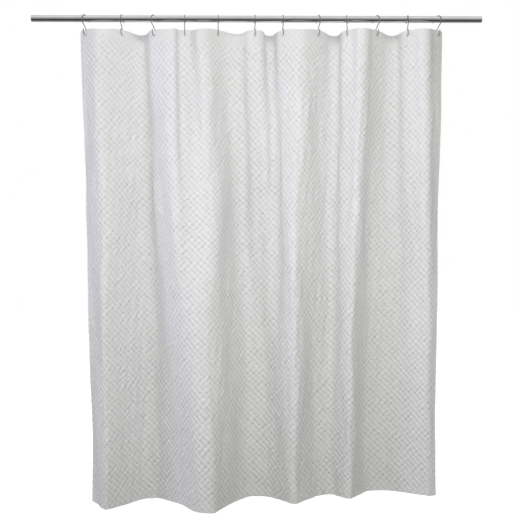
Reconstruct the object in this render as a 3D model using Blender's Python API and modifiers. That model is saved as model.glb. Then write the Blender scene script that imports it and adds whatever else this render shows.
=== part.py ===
"""A waffle-weave fabric shower curtain, hung by twelve wire S-hooks from a straight chrome rod.

Metres, +Z up. The origin is on the rod's axis at mid length. +X runs along the rod and -Y faces
the room. The cloth hangs in folds: its plan outline follows the hooks at the header and runs into
wider folds at the hem. It is cut between the hooks into twelve sections, and each section moves
with its own hook when the curtain is drawn.
"""

import functools
import math

import bmesh
import bpy
import numpy as np
from mathutils import Vector

# Rod
ROD_LENGTH = 1.750
ROD_RADIUS = 0.0127
ROD_WALL = 0.0010
ROD_EDGE = 0.0003
ROD_SIDES = 48

# Hooks: an arch over the rod, a straight run down and back, and a J that holds the cloth
WIRE_RADIUS = 0.0016
BALL_RADIUS = 0.0027
BALL_SIDES = 8
BALL_RINGS = 6
ARCH_FRONT_RADIUS = 2 * ROD_RADIUS - 0.0064
ARCH_BACK_RADIUS = 2 * ROD_RADIUS - 0.0004
ARCH_BACK_ANGLE = math.radians(80)
J_RADIUS = 0.0120
J_OFFSET = 0.0022
J_TIP_RISE = 0.0085
HOOK_DROP = 0.0645
ARC_STEP = math.radians(24)
HOOK_TWISTS = (30, 10, 32, -2, -3, -5, -6, -18, 14, -30, 0, -32)

# Cloth
CLOTH_WIDTH = 1.829
CLOTH_HEIGHT = 1.829
CLOTH_THICKNESS = 0.0010
HEADER_HEIGHT = 0.050
BOTTOM_HEM = 0.028
SIDE_HEM = 0.025
HEM_STEP = 0.0005
CURTAIN_OFFSET = 0.0165
EDGE_TO_HOLE = 0.026
HOLE_BELOW_TOP = J_RADIUS + 0.0100
HOLE_LENGTH = 0.0150
HOLE_HEIGHT = 0.0050
HOLE_ROOM = 0.0005
HOLE_CORNER_POINTS = 5
HOLE_CUT_DEPTH = 0.016
STITCH_WIDTH = 0.0022
STITCH_THICKNESS = 0.0008

# How the cloth gathers: each span's width along the rod over its flat width, and its side
SPAN_SHARES = (0.869, 0.768, 0.737, 0.799, 0.887, 0.677, 0.857, 0.699, 0.713, 0.756, 0.737)
FRONT = -1
BACK = 1
SPAN_SIDES = (FRONT, BACK, FRONT, FRONT, BACK, BACK, FRONT, BACK, FRONT, BACK, FRONT)
SPAN_MIDDLES = (0.47, 0.56, 0.54, 0.54, 0.53, 0.55, 0.48, 0.56, 0.48, 0.56, 0.49)
HOOK_HEADING = math.radians(38)
FLAT_AT_HOOK = 0.013
TOP_SAG = 0.007
SAG_START = 0.085

# The hem's outline, as shares of its width and depths. The depths are scaled until its length is
# the cloth's width. Its fold crests, one for each of the header's, are shares of its width.
HEM_WIDTH_SHARE = 0.738
HEM_SHIFT = 0.030
HEM_PROFILE = (
    (0.000, 0.010),
    (0.052, -0.100),
    (0.155, 0.024),
    (0.192, 0.024),
    (0.245, -0.032),
    (0.310, -0.138),
    (0.358, -0.142),
    (0.418, -0.018),
    (0.452, 0.026),
    (0.505, 0.024),
    (0.582, -0.074),
    (0.640, 0.010),
    (0.695, 0.034),
    (0.745, -0.030),
    (0.800, 0.064),
    (0.865, 0.064),
    (0.915, 0.042),
    (0.980, -0.012),
    (1.000, 0.006),
)
HEM_CRESTS = (0.052, 0.190, 0.336, 0.510, 0.590, 0.702, 0.748, 0.905, 0.978)
HEM_ROUNDING = 0.022
FOLD_SETTLE_SHARE = 0.90
FOLD_SETTLE_POWER = 1.3

CLEARANCE = 0.0003
SAMPLES_PER_SPAN = 160
SECTION_SAMPLES = 1800
COLUMN_SHARES = (0.30, 0.55, 0.78, 1.0)
ROW_SHARES = (0.05, 0.12, 0.21, 0.32, 0.46, 0.63, 0.81)
SHARP_ANGLE = math.radians(50)

HOOKS = len(HOOK_TWISTS)
FLAT_SPACING = (CLOTH_WIDTH - 2 * EDGE_TO_HOLE) / (HOOKS - 1)
HOOK_FLAT = [EDGE_TO_HOLE + k * FLAT_SPACING for k in range(HOOKS)]
FIRST_HOOK_X = CURTAIN_OFFSET - FLAT_SPACING * sum(SPAN_SHARES) / 2
HOOK_X = [FIRST_HOOK_X + FLAT_SPACING * sum(SPAN_SHARES[:k]) for k in range(HOOKS)]
ARCH_TOP = ROD_RADIUS + CLEARANCE + WIRE_RADIUS
HOLE_Z = -HOOK_DROP + WIRE_RADIUS + HOLE_ROOM - HOLE_HEIGHT / 2
TOP_Z = HOLE_Z + HOLE_BELOW_TOP
HEADER_MIDDLE = CLOTH_THICKNESS + CLEARANCE / 2


def clear_scene():
    for obj in list(bpy.data.objects):
        bpy.data.objects.remove(obj, do_unlink=True)


def collection(name):
    made = bpy.data.collections.new(name)
    bpy.context.scene.collection.children.link(made)
    return made


def material(name, colour, roughness, metallic=0.0):
    made = bpy.data.materials.new(name)
    made.use_nodes = True
    shader = made.node_tree.nodes["Principled BSDF"]
    shader.inputs["Base Color"].default_value = (*colour, 1.0)
    shader.inputs["Roughness"].default_value = roughness
    shader.inputs["Metallic"].default_value = metallic
    made.diffuse_color = (*colour, 1.0)
    return made


def empty(name, x, parent=None):
    """An empty on the rod's axis."""
    made = bpy.data.objects.new(name, None)
    made.empty_display_size = 0.03
    made.location = (x - (parent.location.x if parent else 0), 0, 0)
    made.parent = parent
    PARTS.objects.link(made)
    return made


def node(name, mesh, finish, parent=None, location=(0, 0, 0), into=None):
    made = bpy.data.objects.new(name, mesh)
    made.data.materials.clear()
    if finish:
        made.data.materials.append(finish)
    made.parent = parent
    made.location = location
    (into or PARTS).objects.link(made)
    return made


def boolean(obj, other, operation):
    cut = obj.modifiers.new(f"{operation.lower()}_{other.name}", "BOOLEAN")
    cut.operation = operation
    cut.object = other
    cut.solver = "EXACT"


def evaluated_mesh(obj):
    graph = bpy.context.evaluated_depsgraph_get()
    return bpy.data.meshes.new_from_object(obj.evaluated_get(graph))


# ---------------------------------------------------------------- rod


def make_rod(finish):
    """A tube: its wall's outline turned about Z and laid along X."""
    half = ROD_LENGTH / 2
    inner = ROD_RADIUS - ROD_WALL
    outline = (
        (ROD_RADIUS - ROD_EDGE, half),
        (ROD_RADIUS, half - ROD_EDGE),
        (ROD_RADIUS, ROD_EDGE - half),
        (ROD_RADIUS - ROD_EDGE, -half),
        (inner, -half),
        (inner, half),
    )
    mesh = bpy.data.meshes.new("rod_tube")
    edges = [(k, (k + 1) % len(outline)) for k in range(len(outline))]
    mesh.from_pydata([(r, 0, z) for r, z in outline], edges, [])
    rod = node("rod_tube", mesh, finish)
    rod.rotation_euler.y = math.pi / 2
    turn = rod.modifiers.new("turn", "SCREW")
    turn.steps = ROD_SIDES
    turn.render_steps = ROD_SIDES
    turn.use_merge_vertices = True
    turn.merge_threshold = 0.0001
    turn.use_smooth_shade = True
    return rod


# ---------------------------------------------------------------- hooks


def arc(centre, radius, start, end):
    """Points (depth, height) on an arc. Angles are from straight up, positive to the back."""
    steps = max(2, math.ceil(abs(end - start) / ARC_STEP))
    angles = [start + (end - start) * k / steps for k in range(steps + 1)]
    return [
        (centre[0] + radius * math.sin(a), centre[1] + radius * math.cos(a)) for a in angles
    ]


def hook_route():
    """The wire's centre line from its free end to the J's tip, as (depth, height)."""
    back = (0.0, ARCH_TOP - ARCH_BACK_RADIUS)
    front = (0.0, ARCH_TOP - ARCH_FRONT_RADIUS)
    hold = (J_OFFSET, J_RADIUS - HOOK_DROP)
    # The straight run touches the arch's front and the J's back: an inner tangent of two circles.
    across, down = hold[0] - front[0], front[1] - hold[1]
    lean = math.atan2(across, down)
    spread = math.acos((ARCH_FRONT_RADIUS + J_RADIUS) / math.hypot(across, down))
    leave = -(math.pi - spread + lean)
    join = spread - lean
    route = arc(back, ARCH_BACK_RADIUS, ARCH_BACK_ANGLE, 0)
    route += arc(front, ARCH_FRONT_RADIUS, 0, leave)[1:]
    route += arc(hold, J_RADIUS, join, 1.5 * math.pi)
    tip = route[-1]
    route.append((tip[0], tip[1] + J_TIP_RISE))
    return route


def hook_mesh():
    """The bent wire with a ball on each end, as one closed mesh."""
    route = hook_route()
    curve = bpy.data.curves.new("hook_wire", "CURVE")
    curve.dimensions = "3D"
    curve.bevel_depth = WIRE_RADIUS
    curve.bevel_resolution = 2
    curve.use_fill_caps = True
    spline = curve.splines.new("POLY")
    spline.points.add(len(route) - 1)
    for point, (depth, height) in zip(spline.points, route, strict=True):
        point.co = (0, depth, height, 1)
    guide = bpy.data.objects.new("hook_wire", curve)
    CUTTERS.objects.link(guide)
    bpy.context.view_layer.update()
    wire = bpy.data.objects.new("hook_body", evaluated_mesh(guide))
    CUTTERS.objects.link(wire)
    bpy.data.objects.remove(guide)
    weld(wire.data)
    balls = []
    for name, (depth, height) in (("free_ball", route[0]), ("tip_ball", route[-1])):
        bm = bmesh.new()
        bmesh.ops.create_uvsphere(bm, u_segments=BALL_SIDES, v_segments=BALL_RINGS, radius=BALL_RADIUS)
        mesh = bpy.data.meshes.new(name)
        bm.to_mesh(mesh)
        bm.free()
        ball = node(name, mesh, None, location=(0, depth, height), into=CUTTERS)
        boolean(wire, ball, "UNION")
        balls.append(ball)
    bpy.context.view_layer.update()
    mesh = evaluated_mesh(wire)
    mesh.name = "s_hook"
    for helper in (wire, *balls):
        bpy.data.objects.remove(helper)
    mesh.shade_smooth()
    return mesh


def weld(mesh):
    bm = bmesh.new()
    bm.from_mesh(mesh)
    bmesh.ops.remove_doubles(bm, verts=bm.verts, dist=0.00001)
    bm.to_mesh(mesh)
    bm.free()


def make_hooks(sections, finish):
    mesh = hook_mesh()
    for k, twist in enumerate(HOOK_TWISTS):
        hook = node(f"hook_{k + 1:02d}", mesh, None, sections[k])
        hook.rotation_euler.z = -math.radians(twist)
    mesh.materials.append(finish)


# ---------------------------------------------------------------- the cloth's plan outline


def side_of_span(k):
    return SPAN_SIDES[min(max(k, 0), len(SPAN_SIDES) - 1)]


def heading_at_hook(k):
    """The cloth's direction at a hook: it crosses over between two sides and lies flat in a pinch."""
    before = side_of_span(k - 1)
    after = side_of_span(k)
    if k == 0:
        return after * HOOK_HEADING
    if k == HOOKS - 1:
        return -before * HOOK_HEADING
    return 0.0 if before == after else after * HOOK_HEADING


def span_headings(k):
    """The directions along a span, bent so that it ends level with its start and its share along X."""
    share = SPAN_SHARES[k]
    side = SPAN_SIDES[k]
    flat = FLAT_AT_HOOK / FLAT_SPACING
    middle_share = SPAN_MIDDLES[k]
    leaving = (flat + middle_share) / 2
    coming = (1 - flat + middle_share) / 2
    knots = (0, flat, leaving, middle_share, coming, 1 - flat, 1)
    along = (np.arange(SAMPLES_PER_SPAN) + 0.5) / SAMPLES_PER_SPAN

    def headings(leave, come):
        start = heading_at_hook(k)
        end = heading_at_hook(k + 1)
        values = (start, start, side * leave, 0, -side * come, end, end)
        return np.interp(along, knots, values)

    def misses(bends):
        found = headings(*bends)
        return np.array([np.cos(found).mean() - share, np.sin(found).mean()])

    bends = np.array([0.8, 0.8])
    for _ in range(25):
        miss = misses(bends)
        step = 1e-4
        slopes = [(misses(bends + step * axis) - miss) / step for axis in np.eye(2)]
        bends = bends - 0.7 * np.linalg.solve(np.array(slopes).T, miss)
    return headings(*bends)


@functools.cache
def header_outline():
    """(flat position, heading) along the header."""
    flat = [EDGE_TO_HOLE / 2]
    headings = [SPAN_SIDES[0] * HOOK_HEADING]
    along = (np.arange(SAMPLES_PER_SPAN) + 0.5) / SAMPLES_PER_SPAN
    for k in range(HOOKS - 1):
        flat.extend(HOOK_FLAT[k] + FLAT_SPACING * along)
        headings.extend(span_headings(k))
    flat.append(CLOTH_WIDTH - EDGE_TO_HOLE / 2)
    headings.append(-SPAN_SIDES[-1] * HOOK_HEADING)
    return np.array(flat), np.array(headings)


def header_folds():
    """The flat positions of the header's fold crests, one for each run of spans on one side."""
    crests = []
    start = 0
    for k in range(1, len(SPAN_SIDES) + 1):
        if k == len(SPAN_SIDES) or SPAN_SIDES[k] != SPAN_SIDES[start]:
            middles = [HOOK_FLAT[j] + SPAN_MIDDLES[j] * FLAT_SPACING for j in range(start, k)]
            crests.append(sum(middles) / len(middles))
            start = k
    return [0, *crests, CLOTH_WIDTH]


@functools.cache
def hem_outline():
    """(flat position, heading, flat positions of the fold crests) along the hem."""
    width = HEM_WIDTH_SHARE * CLOTH_WIDTH
    across = np.linspace(0, 1, 2001)
    places, depths = zip(*HEM_PROFILE, strict=True)
    drawn = np.interp(across, places, depths)
    reach = round(HEM_ROUNDING * (len(across) - 1))
    window = np.hanning(2 * reach + 3)[1:-1]
    shape = np.convolve(np.pad(drawn, reach, "edge"), window / window.sum(), "valid")
    low, high = 0.0, 8.0
    for _ in range(50):
        deep = (low + high) / 2
        steps = np.hypot(np.diff(across * width), np.diff(shape * deep))
        if steps.sum() < CLOTH_WIDTH:
            low = deep
        else:
            high = deep
    ends = np.concatenate([[0], np.cumsum(steps)]) * CLOTH_WIDTH / steps.sum()
    headings = np.arctan2(np.diff(shape * deep), np.diff(across * width))
    return (ends[1:] + ends[:-1]) / 2, headings, np.interp((0, *HEM_CRESTS, 1), across, ends)


@functools.cache
def blended(settled):
    """(edges, crests, headings) on the way from the header's outline at settled 0 to the hem's at 1.

    The flat positions of the fold crests run over from the header's to the hem's, and every point
    keeps its place between two crests.
    """
    header_flat, header_headings = header_outline()
    hem_flat, hem_headings, hem_crests = hem_outline()
    header_crests = header_folds()
    crests = [(1 - settled) * a + settled * b for a, b in zip(header_crests, hem_crests, strict=True)]
    edges = np.linspace(0, CLOTH_WIDTH, SECTION_SAMPLES + 1)
    middles = (edges[1:] + edges[:-1]) / 2
    fold = np.interp(middles, crests, range(len(crests)))
    on_header = np.interp(fold, range(len(crests)), header_crests)
    on_hem = np.interp(fold, range(len(crests)), hem_crests)
    headings = (1 - settled) * np.interp(on_header, header_flat, header_headings)
    headings += settled * np.interp(on_hem, hem_flat, hem_headings)
    return edges, np.array(crests), headings


def walk(headings):
    """X and Y along the cloth from its left edge."""
    length = CLOTH_WIDTH / SECTION_SAMPLES
    x = np.concatenate([[0], np.cumsum(np.cos(headings) * length)])
    y = np.concatenate([[0], np.cumsum(np.sin(headings) * length)])
    return x, y


@functools.cache
def crest_places(settled):
    """X of the fold crests from the left edge, at the header or at the hem."""
    edges, crests, headings = blended(settled)
    return np.interp(crests, edges, walk(headings)[0])


@functools.cache
def outline(settled):
    """The cloth's plan outline, from the header's at settled 0 to the hem's at 1.

    Returns the flat positions, x, y and headings. Its length is always the cloth's width. Each fold
    is bent until its crests lie on straight lines from the header's crests to the hem's. At the
    header the hooks' places lie on their wires, and at the hem the cloth hangs balanced about Y = 0.
    """
    edges, crests, headings = blended(settled)
    wanted = np.diff((1 - settled) * crest_places(0.0) + settled * crest_places(1.0))
    low, high = np.full(len(wanted), 0.2), np.full(len(wanted), 3.0)
    middles = (edges[1:] + edges[:-1]) / 2
    fold = np.clip(np.searchsorted(crests, middles) - 1, 0, len(wanted) - 1)
    for _ in range(40):
        bend = (low + high) / 2
        x, _ = walk(headings * bend[fold])
        wide = np.diff(np.interp(crests, edges, x)) > wanted
        low, high = np.where(wide, bend, low), np.where(wide, high, bend)
    headings = headings * bend[fold]
    x, y = walk(headings)
    left = HOOK_X[0] - EDGE_TO_HOLE * math.cos(HOOK_HEADING) + settled * HEM_SHIFT
    y = y - edges / CLOTH_WIDTH * y[-1]
    level = J_OFFSET - HEADER_MIDDLE - np.interp(HOOK_FLAT, edges, y).mean()
    y = y + (1 - settled) * level - settled * y.mean()
    return edges, x + left, y, np.interp(edges, middles, headings)


def settled_at(drop):
    """How far the folds have run from the header's shape to the hem's, at a drop below the top."""
    run = (drop - HEADER_HEIGHT) / (FOLD_SETTLE_SHARE * CLOTH_HEIGHT)
    return round(1 - (1 - min(max(run, 0), 1)) ** FOLD_SETTLE_POWER, 6)


# ---------------------------------------------------------------- cloth pieces


def sag(flat, settled):
    """How far the cloth hangs below its straight line between two hooks, most at the top edge."""
    across = np.clip((flat - EDGE_TO_HOLE) / FLAT_SPACING, 0, HOOKS - 1) % 1
    part = np.clip((across - SAG_START) / (1 - 2 * SAG_START), 0, 1)
    return TOP_SAG * (1 - settled) * (1 - np.cos(2 * math.pi * part)) / 2


def points_on_panel(columns, drop, wanted, offset):
    """Points at the wanted flat positions on the flat facets between columns, offset to the back."""
    settled = settled_at(drop)
    edges, x, y, headings = outline(settled)
    at_x = np.interp(columns, edges, x)
    at_y = np.interp(columns, edges, y)
    turn = np.interp(columns, edges, headings)
    px = np.interp(wanted, columns, at_x - offset * np.sin(turn))
    py = np.interp(wanted, columns, at_y + offset * np.cos(turn))
    pz = TOP_Z - drop - np.interp(wanted, columns, sag(np.array(columns), settled))
    return list(zip(px, py, pz, strict=True))


def section_columns(k):
    """Flat positions of a section's columns, with one flat facet round the buttonhole."""
    hook = HOOK_FLAT[k]
    low = 0.0 if k == 0 else hook - FLAT_SPACING / 2 + CLEARANCE / 2
    high = CLOTH_WIDTH if k == HOOKS - 1 else hook + FLAT_SPACING / 2 - CLEARANCE / 2
    left = [hook - FLAT_AT_HOOK - share * (hook - FLAT_AT_HOOK - low) for share in COLUMN_SHARES]
    right = [hook + FLAT_AT_HOOK + share * (high - hook - FLAT_AT_HOOK) for share in COLUMN_SHARES]
    if k == 0:
        left = left[-1:]
        right = [SIDE_HEM, *right]
    if k == HOOKS - 1:
        left = [*left, CLOTH_WIDTH - SIDE_HEM]
        right = right[-1:]
    return sorted([*left, hook - FLAT_AT_HOOK, hook + FLAT_AT_HOOK, *right])


def panel_drops():
    """Drops of the panel's rows below the top edge, with a step where the bottom hem starts."""
    hem_top = CLOTH_HEIGHT - BOTTOM_HEM
    open_height = hem_top - HEM_STEP - HEADER_HEIGHT
    rows = [HEADER_HEIGHT + share * open_height for share in ROW_SHARES]
    return [0.0, HEADER_HEIGHT, *rows, hem_top - HEM_STEP, hem_top, CLOTH_HEIGHT]


def cloth_sheet(name, k, section, wanted, drops, offset, finish, doubled_from=None):
    """A closed loft between the plan outlines at several drops, twice as thick in a hem.

    Its ends stand square to the cloth, so that two sections meet in an even seam.
    """
    columns = section_columns(k)
    origin = Vector((HOOK_X[k], 0, 0))
    front = [points_on_panel(columns, drop, wanted, offset) for drop in drops]
    back = []
    for drop in drops:
        layers = 2 if doubled_from is not None and drop >= doubled_from else 1
        back.append(points_on_panel(columns, drop, wanted, offset + layers * CLOTH_THICKNESS))
    vertices = [Vector(point) - origin for face in (front, back) for row in face for point in row]
    across = len(wanted)
    down = len(drops)

    def at(face, row, column):
        return (face * down + row) * across + column

    faces = []
    for r in range(down - 1):
        for c in range(across - 1):
            for face, order in ((0, 1), (1, -1)):
                near = (at(face, r, c), at(face, r + 1, c + 1), at(face, r, c + 1))
                far = (at(face, r, c), at(face, r + 1, c), at(face, r + 1, c + 1))
                faces += [near[::order], far[::order]]
        last = across - 1
        faces.append((at(0, r, 0), at(1, r, 0), at(1, r + 1, 0), at(0, r + 1, 0)))
        faces.append((at(0, r, last), at(0, r + 1, last), at(1, r + 1, last), at(1, r, last)))
    for c in range(across - 1):
        last = down - 1
        faces.append((at(0, 0, c), at(0, 0, c + 1), at(1, 0, c + 1), at(1, 0, c)))
        faces.append((at(0, last, c), at(1, last, c), at(1, last, c + 1), at(0, last, c + 1)))
    mesh = bpy.data.meshes.new(name)
    mesh.from_pydata(vertices, [], faces)
    mesh.shade_smooth()
    mesh.set_sharp_from_angle(angle=SHARP_ANGLE)
    return node(name, mesh, finish, section)


def slot_loop(length, height):
    """A slot's outline about its centre: half circles at both ends."""
    radius = height / 2
    straight = length / 2 - radius
    points = []
    for end in (1, -1):
        for j in range(HOLE_CORNER_POINTS + 1):
            angle = math.pi * (j / HOLE_CORNER_POINTS - 0.5)
            points.append((end * (straight + radius * math.cos(angle)), end * radius * math.sin(angle)))
    return points


def hole_cutter(k):
    """A slot that stands through the cloth at its hook, turned with the cloth."""
    columns = section_columns(k)
    hook = HOOK_FLAT[k]
    (left, middle, right) = points_on_panel(
        columns, HOLE_BELOW_TOP, (hook - FLAT_AT_HOOK, hook, hook + FLAT_AT_HOOK), 0
    )
    curve = bpy.data.curves.new(f"hole_{k + 1:02d}", "CURVE")
    curve.dimensions = "2D"
    curve.fill_mode = "BOTH"
    curve.extrude = HOLE_CUT_DEPTH / 2
    spline = curve.splines.new("POLY")
    loop = slot_loop(HOLE_LENGTH, HOLE_HEIGHT)
    spline.points.add(len(loop) - 1)
    for point, (a, b) in zip(spline.points, loop, strict=True):
        point.co = (a, b, 0, 1)
    spline.use_cyclic_u = True
    guide = bpy.data.objects.new(f"hole_{k + 1:02d}", curve)
    guide.location = middle
    turn = math.atan2(right[1] - left[1], right[0] - left[0])
    guide.rotation_euler = (math.pi / 2, 0, turn)
    CUTTERS.objects.link(guide)
    bpy.context.view_layer.update()
    mesh = evaluated_mesh(guide)
    weld(mesh)
    cutter = bpy.data.objects.new(f"buttonhole_cutter_{k + 1:02d}", mesh)
    cutter.matrix_world = guide.matrix_world.copy()
    CUTTERS.objects.link(cutter)
    bpy.data.objects.remove(guide)
    cutter.hide_render = True
    cutter.display_type = "WIRE"
    return cutter


def stitching_ring(k, section, finish):
    """The buttonhole's stitched rim: a thin slot-shaped ring on the cloth's front."""
    columns = section_columns(k)
    inner = slot_loop(HOLE_LENGTH + 2 * CLEARANCE, HOLE_HEIGHT + 2 * CLEARANCE)
    outer = slot_loop(
        HOLE_LENGTH + 2 * CLEARANCE + 2 * STITCH_WIDTH, HOLE_HEIGHT + 2 * CLEARANCE + 2 * STITCH_WIDTH
    )
    near = -CLEARANCE
    far = -CLEARANCE - STITCH_THICKNESS
    loops = ((inner, near), (outer, near), (outer, far), (inner, far))
    origin = Vector((HOOK_X[k], 0, 0))
    vertices = []
    for loop, offset in loops:
        for a, b in loop:
            drop = HOLE_BELOW_TOP - b
            (point,) = points_on_panel(columns, drop, (HOOK_FLAT[k] + a,), offset)
            vertices.append(Vector(point) - origin)
    count = len(inner)
    faces = [
        (j * count + c, j * count + (c + 1) % count, n * count + (c + 1) % count, n * count + c)
        for j, n in ((0, 1), (1, 2), (2, 3), (3, 0))
        for c in range(count)
    ]
    mesh = bpy.data.meshes.new("buttonhole_stitching")
    mesh.from_pydata(vertices, [], faces)
    bm = bmesh.new()
    bm.from_mesh(mesh)
    bmesh.ops.recalc_face_normals(bm, faces=bm.faces)
    bm.to_mesh(mesh)
    bm.free()
    return node(f"buttonhole_stitching_{k + 1:02d}", mesh, finish, section)


def make_cloth(sections, fabric, thread):
    drops = panel_drops()
    hem_top = CLOTH_HEIGHT - BOTTOM_HEM
    behind = CLOTH_THICKNESS + CLEARANCE
    for k, section in enumerate(sections):
        label = f"{k + 1:02d}"
        columns = section_columns(k)
        cutter = hole_cutter(k)
        panel = cloth_sheet(f"cloth_panel_{label}", k, section, columns, drops, 0, fabric, hem_top)
        band_drops = (CLEARANCE, HEADER_HEIGHT)
        band = cloth_sheet(f"header_band_{label}", k, section, columns, band_drops, behind, fabric)
        boolean(panel, cutter, "DIFFERENCE")
        boolean(band, cutter, "DIFFERENCE")
        stitching_ring(k, section, thread)
    side_drops = [HEADER_HEIGHT + CLEARANCE, *drops[2:-2]]
    side_drops[-1] -= CLEARANCE
    left = [c for c in section_columns(0) if c <= SIDE_HEM]
    right = [c for c in section_columns(HOOKS - 1) if c >= CLOTH_WIDTH - SIDE_HEM]
    cloth_sheet("left_side_hem", 0, sections[0], left, side_drops, behind, fabric)
    cloth_sheet("right_side_hem", HOOKS - 1, sections[-1], right, side_drops, behind, fabric)


# ---------------------------------------------------------------- assembly

clear_scene()
PARTS = collection("shower_curtain")
CUTTERS = collection("cutters")


def main():
    chrome = material("chrome", (0.78, 0.79, 0.80), 0.12, 1.0)
    fabric = material("waffle_fabric", (0.83, 0.83, 0.82), 0.9)
    thread = material("thread", (0.80, 0.80, 0.79), 0.7)
    make_rod(chrome)
    swing = empty("curtain_swing_axis", HOOK_X[0])
    slides = [empty(f"hook_{k + 1:02d}_slide", HOOK_X[k], swing) for k in range(1, HOOKS)]
    sections = [swing, *slides]
    make_hooks(sections, chrome)
    make_cloth(sections, fabric, thread)


main()
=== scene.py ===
"""Looks of a waffle-weave shower curtain on wire S-hooks and a chrome rod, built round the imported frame.

Metres, +Z up. The curtain faces -Y. The cloth is one sheet whose plan outline follows the hooks at the
header and runs into wider folds at the hem, as the frame's cloth panels do. A point on it is named by its
flat position across the cloth, its drop below the top edge, and its offset to the back.
"""
import functools
import math

import bpy
import numpy as np
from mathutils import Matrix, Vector


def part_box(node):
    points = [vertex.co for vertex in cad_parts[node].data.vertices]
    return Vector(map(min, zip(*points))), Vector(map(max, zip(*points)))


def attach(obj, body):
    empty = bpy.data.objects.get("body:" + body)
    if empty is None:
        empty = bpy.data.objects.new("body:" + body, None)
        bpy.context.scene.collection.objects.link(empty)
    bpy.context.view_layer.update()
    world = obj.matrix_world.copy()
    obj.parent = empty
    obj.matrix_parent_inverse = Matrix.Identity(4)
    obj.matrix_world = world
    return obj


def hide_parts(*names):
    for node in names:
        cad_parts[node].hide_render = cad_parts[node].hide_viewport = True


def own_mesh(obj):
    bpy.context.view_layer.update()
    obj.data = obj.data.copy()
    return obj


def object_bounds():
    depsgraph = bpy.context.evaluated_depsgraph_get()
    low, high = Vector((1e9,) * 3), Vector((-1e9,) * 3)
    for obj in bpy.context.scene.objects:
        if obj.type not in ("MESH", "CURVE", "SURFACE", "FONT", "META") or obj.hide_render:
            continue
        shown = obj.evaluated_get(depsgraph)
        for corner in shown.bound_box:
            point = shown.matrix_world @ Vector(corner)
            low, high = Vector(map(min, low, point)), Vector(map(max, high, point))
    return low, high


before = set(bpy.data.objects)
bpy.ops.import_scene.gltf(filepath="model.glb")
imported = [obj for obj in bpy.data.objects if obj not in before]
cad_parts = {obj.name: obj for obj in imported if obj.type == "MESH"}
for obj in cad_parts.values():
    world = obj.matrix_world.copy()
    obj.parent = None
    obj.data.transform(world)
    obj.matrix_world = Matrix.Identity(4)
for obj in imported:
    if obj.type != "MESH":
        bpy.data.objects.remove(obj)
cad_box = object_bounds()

HOOKS = 12
LABELS = [f"{k + 1:02d}" for k in range(HOOKS)]
CLOTH_WIDTH = 1.829
CLOTH_HEIGHT = 1.829
EDGE_TO_HOLE = 0.026
FLAT_SPACING = (CLOTH_WIDTH - 2 * EDGE_TO_HOLE) / (HOOKS - 1)
HOOK_FLAT = np.array([EDGE_TO_HOLE + k * FLAT_SPACING for k in range(HOOKS)])


def middle(node):
    low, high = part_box(node)
    return (low + high) / 2


HOOK_X = np.array([middle(f"buttonhole_stitching_{label}").x for label in LABELS])
HOLE_Z = middle("buttonhole_stitching_01").z
TOP_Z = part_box("cloth_panel_01")[1].z
HOLE_DROP = TOP_Z - HOLE_Z
HEADER_HEIGHT = 0.050
ROD_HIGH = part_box("rod_tube")[1]
ROD_RADIUS = ROD_HIGH.z
ROD_HALF = ROD_HIGH.x
ROD_WALL = 0.0010
ROD_EDGE = 0.0003
ROD_SIDES = 160
ROD_BENDS = (90, 60, 30, 0)

# The bent wire hooks, as in the frame
WIRE_RADIUS = 0.0016
BALL_RADIUS = 0.0027
ROD_GAP = 0.0003
ARCH_FRONT_RADIUS = 0.0190
ARCH_BACK_RADIUS = 0.0250
ARCH_BACK_ANGLE = math.radians(80)
J_RADIUS = 0.0120
J_TIP_RISE = 0.0085
HOOK_DROP = 0.0645
HOOK_TWISTS = (30, 10, 32, -2, -3, -5, -6, -18, 14, -30, 0, -32)
WIRE_SIDES = 20
WIRE_STEP = 0.0012
ARC_STEP = 5
BALL_ANGLES = range(12, 150, 12)

# The cloth's folds, as in the frame
SPAN_SHARES = np.diff(HOOK_X) / FLAT_SPACING
FRONT = -1
BACK = 1
SPAN_SIDES = (FRONT, BACK, FRONT, FRONT, BACK, BACK, FRONT, BACK, FRONT, BACK, FRONT)
SPAN_MIDDLES = (0.47, 0.56, 0.54, 0.54, 0.53, 0.55, 0.48, 0.56, 0.48, 0.56, 0.49)
HOOK_HEADING = math.radians(38)
FLAT_AT_HOOK = 0.013
TOP_SAG = 0.007
SAG_START = 0.085
HEM_WIDTH_SHARE = 0.738
HEM_SHIFT = 0.030
HEM_PROFILE = (
    (0.000, 0.010),
    (0.052, -0.100),
    (0.155, 0.024),
    (0.192, 0.024),
    (0.245, -0.032),
    (0.310, -0.138),
    (0.358, -0.142),
    (0.418, -0.018),
    (0.452, 0.026),
    (0.505, 0.024),
    (0.582, -0.074),
    (0.640, 0.010),
    (0.695, 0.034),
    (0.745, -0.030),
    (0.800, 0.064),
    (0.865, 0.064),
    (0.915, 0.042),
    (0.980, -0.012),
    (1.000, 0.006),
)
HEM_CRESTS = (0.052, 0.190, 0.336, 0.510, 0.590, 0.702, 0.748, 0.905, 0.978)
HEM_ROUNDING = 0.022
FOLD_SETTLE_SHARE = 0.90
FOLD_SETTLE_POWER = 1.3
J_OFFSET = 0.0022
THICKNESS = 0.0010
LAYER_GAP = 0.00015
HEADER_MIDDLE = 0.00115
SAMPLES_PER_SPAN = 160
HEM_SAMPLES = 2000
SECTION_SAMPLES = 1800

# Weave relief and hems
CELLS = 75
SAMPLES_PER_CELL = 6
CELL = CLOTH_WIDTH / CELLS
PUFF_HEIGHT = 0.0024
SIDE_HEM = 0.025
BOTTOM_HEM = 0.028
PRESSED_EDGE = 0.008
PRESSED_EARLY = 0.002
LAYER_TRIM = 0.0003
SHARP_ANGLE = 60

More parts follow.
